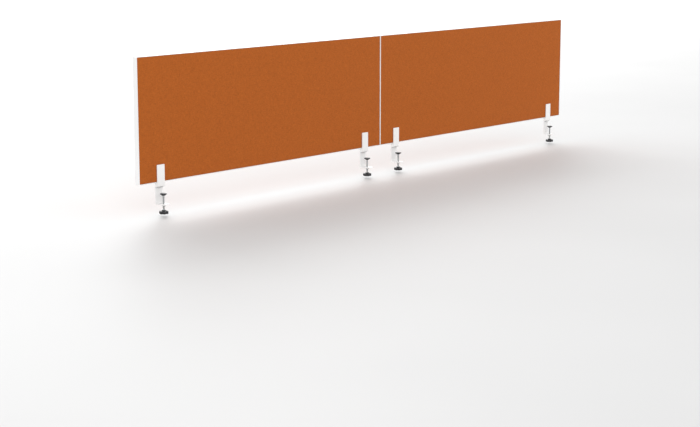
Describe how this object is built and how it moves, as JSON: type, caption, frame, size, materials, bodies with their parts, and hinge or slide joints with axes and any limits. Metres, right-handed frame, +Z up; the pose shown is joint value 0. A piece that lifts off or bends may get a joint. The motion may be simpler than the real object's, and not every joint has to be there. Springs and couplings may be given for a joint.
{
  "type": "desk privacy panel",
  "caption": "Desk privacy panel for a back-to-back bench: fabric-covered screens in slim white frames, end to end, held by clamp brackets over the gap between desktops.",
  "frame": {"origin": "middle of the run, in the middle plane of the screens, on the plane of the desktops' upper surface", "axes": "+X along the run to the right as seen from the viewer's side, +Y across the bench away from the viewer, +Z up"},
  "size_m": [3, 0.092, 0.6335],
  "materials": {
    "frame_white": "satin powder coat",
    "bracket_white": "satin powder coat",
    "orange_fabric": "heathered weave",
    "acoustic_foam": "felt",
    "core_board": "raw board",
    "cast_keys": "as cast",
    "grey_rubber": "matte",
    "zinc_steel": "bright zinc",
    "black_plastic": "fine texture"
  },
  "bodies": {
    "brackets": {"bracket_1_strap": "bracket_white", "bracket_1_cradle": "bracket_white", "bracket_1_pads": "grey_rubber", "bracket_1_nuts": "zinc_steel", "bracket_2_strap": "bracket_white", "bracket_2_cradle": "bracket_white", "bracket_2_pads": "grey_rubber", "bracket_2_nuts": "zinc_steel", "bracket_3_strap": "bracket_white", "bracket_3_cradle": "bracket_white", "bracket_3_pads": "grey_rubber", "bracket_3_nuts": "zinc_steel", "bracket_4_strap": "bracket_white", "bracket_4_cradle": "bracket_white", "bracket_4_pads": "grey_rubber", "bracket_4_nuts": "zinc_steel"},
    "left_screen": {"left_top_rail": "frame_white", "left_bottom_rail": "frame_white", "left_outer_stile": "frame_white", "left_inner_stile": "frame_white", "left_corner_keys": "cast_keys", "left_core_board": "core_board", "left_front_foam": "acoustic_foam", "left_rear_foam": "acoustic_foam", "left_front_fabric": "orange_fabric", "left_rear_fabric": "orange_fabric"},
    "right_screen": {"right_top_rail": "frame_white", "right_bottom_rail": "frame_white", "right_outer_stile": "frame_white", "right_inner_stile": "frame_white", "right_corner_keys": "cast_keys", "right_core_board": "core_board", "right_front_foam": "acoustic_foam", "right_rear_foam": "acoustic_foam", "right_front_fabric": "orange_fabric", "right_rear_fabric": "orange_fabric"},
    "pinch_plate_1": {"bracket_1_pressure_plate": "bracket_white", "bracket_1_pressure_pad": "grey_rubber"},
    "pinch_screw_1": {"bracket_1_thumb_screw": "zinc_steel"},
    "clamp_foot_1": {"bracket_1_clamp_pad": "black_plastic"},
    "clamp_screw_1": {"bracket_1_clamp_spindle": "zinc_steel", "bracket_1_clamp_knob": "black_plastic"},
    "pinch_plate_2": {"bracket_2_pressure_plate": "bracket_white", "bracket_2_pressure_pad": "grey_rubber"},
    "pinch_screw_2": {"bracket_2_thumb_screw": "zinc_steel"},
    "clamp_foot_2": {"bracket_2_clamp_pad": "black_plastic"},
    "clamp_screw_2": {"bracket_2_clamp_spindle": "zinc_steel", "bracket_2_clamp_knob": "black_plastic"},
    "pinch_plate_3": {"bracket_3_pressure_plate": "bracket_white", "bracket_3_pressure_pad": "grey_rubber"},
    "pinch_screw_3": {"bracket_3_thumb_screw": "zinc_steel"},
    "clamp_foot_3": {"bracket_3_clamp_pad": "black_plastic"},
    "clamp_screw_3": {"bracket_3_clamp_spindle": "zinc_steel", "bracket_3_clamp_knob": "black_plastic"},
    "pinch_plate_4": {"bracket_4_pressure_plate": "bracket_white", "bracket_4_pressure_pad": "grey_rubber"},
    "pinch_screw_4": {"bracket_4_thumb_screw": "zinc_steel"},
    "clamp_foot_4": {"bracket_4_clamp_pad": "black_plastic"},
    "clamp_screw_4": {"bracket_4_clamp_spindle": "zinc_steel", "bracket_4_clamp_knob": "black_plastic"}
  },
  "joints": [
    {"name": "left_screen_lift", "type": "slide", "parent": "brackets", "child": "left_screen", "axis": [0, 0, 1], "range_m": [0, 0.08]},
    {"name": "right_screen_lift", "type": "slide", "parent": "brackets", "child": "right_screen", "axis": [0, 0, 1], "range_m": [0, 0.08]},
    {"name": "pinch_1_travel", "type": "slide", "parent": "brackets", "child": "pinch_plate_1", "axis": [0, -1, 0], "range_m": [-0.003, 0]},
    {"name": "pinch_1_turn", "type": "hinge", "parent": "pinch_plate_1", "child": "pinch_screw_1", "pos_m": [-1.387, 0.03, 0.056], "axis": [0, -1, 0], "range_deg": [-1081, 0]},
    {"name": "clamp_1_travel", "type": "slide", "parent": "brackets", "child": "clamp_foot_1", "axis": [0, 0, 1], "range_m": [-0.01, 0.005]},
    {"name": "clamp_1_turn", "type": "hinge", "parent": "clamp_foot_1", "child": "clamp_screw_1", "pos_m": [-1.387, -0.028, -0.08], "axis": [0, 0, 1], "range_deg": [-2881, 1441]},
    {"name": "pinch_2_travel", "type": "slide", "parent": "brackets", "child": "pinch_plate_2", "axis": [0, -1, 0], "range_m": [-0.003, 0]},
    {"name": "pinch_2_turn", "type": "hinge", "parent": "pinch_plate_2", "child": "pinch_screw_2", "pos_m": [-0.1135, 0.03, 0.056], "axis": [0, -1, 0], "range_deg": [-1081, 0]},
    {"name": "clamp_2_travel", "type": "slide", "parent": "brackets", "child": "clamp_foot_2", "axis": [0, 0, 1], "range_m": [-0.01, 0.005]},
    {"name": "clamp_2_turn", "type": "hinge", "parent": "clamp_foot_2", "child": "clamp_screw_2", "pos_m": [-0.1135, -0.028, -0.08], "axis": [0, 0, 1], "range_deg": [-2881, 1441]},
    {"name": "pinch_3_travel", "type": "slide", "parent": "brackets", "child": "pinch_plate_3", "axis": [0, -1, 0], "range_m": [-0.003, 0]},
    {"name": "pinch_3_turn", "type": "hinge", "parent": "pinch_plate_3", "child": "pinch_screw_3", "pos_m": [0.1135, 0.03, 0.056], "axis": [0, -1, 0], "range_deg": [-1081, 0]},
    {"name": "clamp_3_travel", "type": "slide", "parent": "brackets", "child": "clamp_foot_3", "axis": [0, 0, 1], "range_m": [-0.01, 0.005]},
    {"name": "clamp_3_turn", "type": "hinge", "parent": "clamp_foot_3", "child": "clamp_screw_3", "pos_m": [0.1135, -0.028, -0.08], "axis": [0, 0, 1], "range_deg": [-2881, 1441]},
    {"name": "pinch_4_travel", "type": "slide", "parent": "brackets", "child": "pinch_plate_4", "axis": [0, -1, 0], "range_m": [-0.003, 0]},
    {"name": "pinch_4_turn", "type": "hinge", "parent": "pinch_plate_4", "child": "pinch_screw_4", "pos_m": [1.387, 0.03, 0.056], "axis": [0, -1, 0], "range_deg": [-1081, 0]},
    {"name": "clamp_4_travel", "type": "slide", "parent": "brackets", "child": "clamp_foot_4", "axis": [0, 0, 1], "range_m": [-0.01, 0.005]},
    {"name": "clamp_4_turn", "type": "hinge", "parent": "clamp_foot_4", "child": "clamp_screw_4", "pos_m": [1.387, -0.028, -0.08], "axis": [0, 0, 1], "range_deg": [-2881, 1441]}
  ],
  "couplings": [
    {"joint": "pinch_1_turn", "follows": "pinch_1_travel", "rad_per_m": 6283.2},
    {"joint": "clamp_1_turn", "follows": "clamp_1_travel", "rad_per_m": 5026.5},
    {"joint": "pinch_2_turn", "follows": "pinch_2_travel", "rad_per_m": 6283.2},
    {"joint": "clamp_2_turn", "follows": "clamp_2_travel", "rad_per_m": 5026.5},
    {"joint": "pinch_3_turn", "follows": "pinch_3_travel", "rad_per_m": 6283.2},
    {"joint": "clamp_3_turn", "follows": "clamp_3_travel", "rad_per_m": 5026.5},
    {"joint": "pinch_4_turn", "follows": "pinch_4_travel", "rad_per_m": 6283.2},
    {"joint": "clamp_4_turn", "follows": "clamp_4_travel", "rad_per_m": 5026.5}
  ]
}
